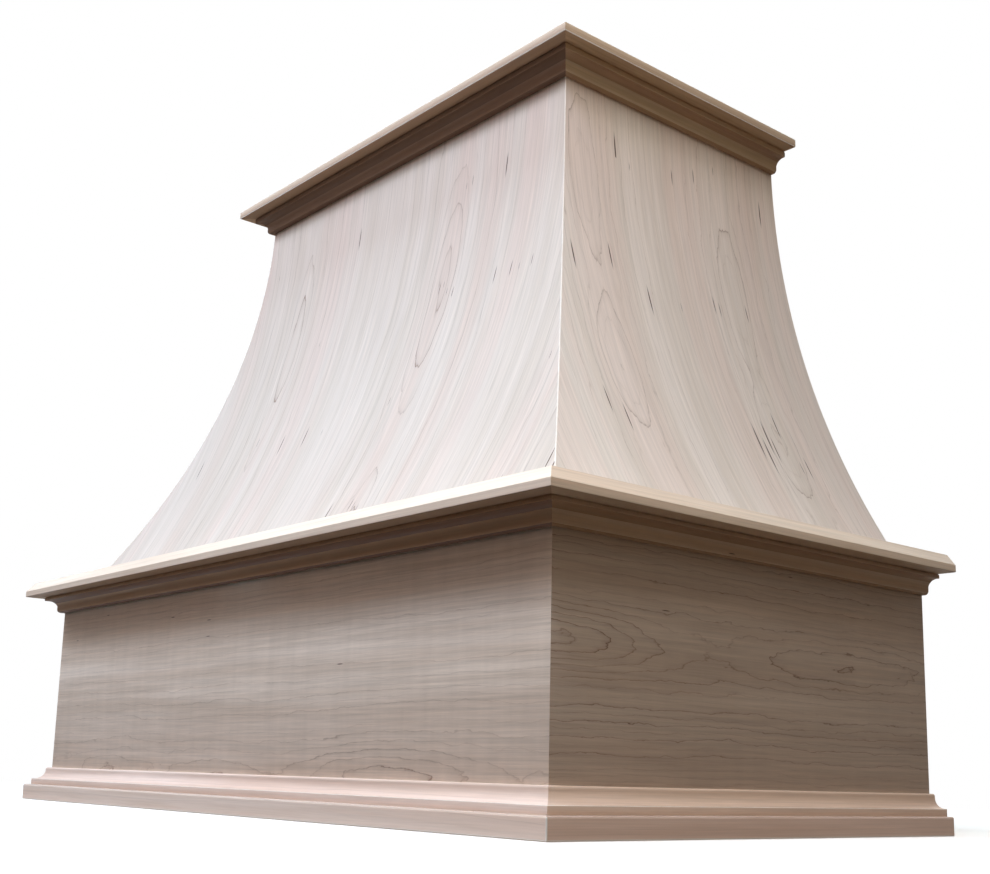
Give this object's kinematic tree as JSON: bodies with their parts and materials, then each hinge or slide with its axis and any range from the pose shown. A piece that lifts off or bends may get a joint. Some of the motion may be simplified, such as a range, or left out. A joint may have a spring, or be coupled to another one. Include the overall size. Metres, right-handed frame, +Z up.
{
  "type": "wooden range hood cover",
  "caption": "Wall-hung wooden range hood cover with a mitred apron box, a shelf, a hollow-sided bell bonnet and cove mouldings.",
  "frame": {"origin": "middle of the bounding box at the underside of the base frame", "axes": "+Z up; +X across the width, towards the hood's right side; +Y towards the wall, so the front faces -Y"},
  "size_m": [1.0646, 0.5938, 0.8436],
  "materials": {
    "veneer": "raw, sanded, unfinished veneer",
    "solid_wood": "raw, sanded, unfinished solid wood",
    "rib_plywood": "raw plywood with sawn edges",
    "frame_wood": "planed softwood",
    "screw_steel": "zinc plated"
  },
  "bodies": {
    "root": {"apron_block_left": "frame_wood", "apron_block_right": "frame_wood", "apron_front": "veneer", "apron_left": "veneer", "apron_right": "veneer", "back_rib_left": "rib_plywood", "back_rib_right": "rib_plywood", "base_front": "solid_wood", "base_left": "solid_wood", "base_rear": "solid_wood", "base_right": "solid_wood", "base_screws": "screw_steel", "base_splines": "rib_plywood", "bonnet_front": "veneer", "bonnet_left": "veneer", "bonnet_right": "veneer", "cap_moulding_front": "solid_wood", "cap_moulding_left": "solid_wood", "cap_moulding_right": "solid_wood", "crown_cap_front": "solid_wood", "crown_cap_left": "solid_wood", "crown_cap_right": "solid_wood", "crown_moulding_front": "solid_wood", "crown_moulding_left": "solid_wood", "crown_moulding_right": "solid_wood", "deck_screws": "screw_steel", "foot_cleat_front_centre": "frame_wood", "foot_cleat_front_left": "frame_wood", "foot_cleat_front_right": "frame_wood", "foot_cleat_left_aft": "frame_wood", "foot_cleat_left_fore": "frame_wood", "foot_cleat_right_aft": "frame_wood", "foot_cleat_right_fore": "frame_wood", "foot_screws": "screw_steel", "front_rib_left": "rib_plywood", "front_rib_right": "rib_plywood", "hip_rib_left": "rib_plywood", "hip_rib_right": "rib_plywood", "lower_nailer": "frame_wood", "middle_nailer": "frame_wood", "rail_screws": "screw_steel", "shelf_front": "solid_wood", "shelf_left": "solid_wood", "shelf_moulding_front": "solid_wood", "shelf_moulding_left": "solid_wood", "shelf_moulding_right": "solid_wood", "shelf_rear": "solid_wood", "shelf_right": "solid_wood", "shelf_splines": "rib_plywood", "side_rib_left": "rib_plywood", "side_rib_right": "rib_plywood", "top_deck": "rib_plywood", "upper_nailer": "frame_wood"}
  },
  "joints": []
}
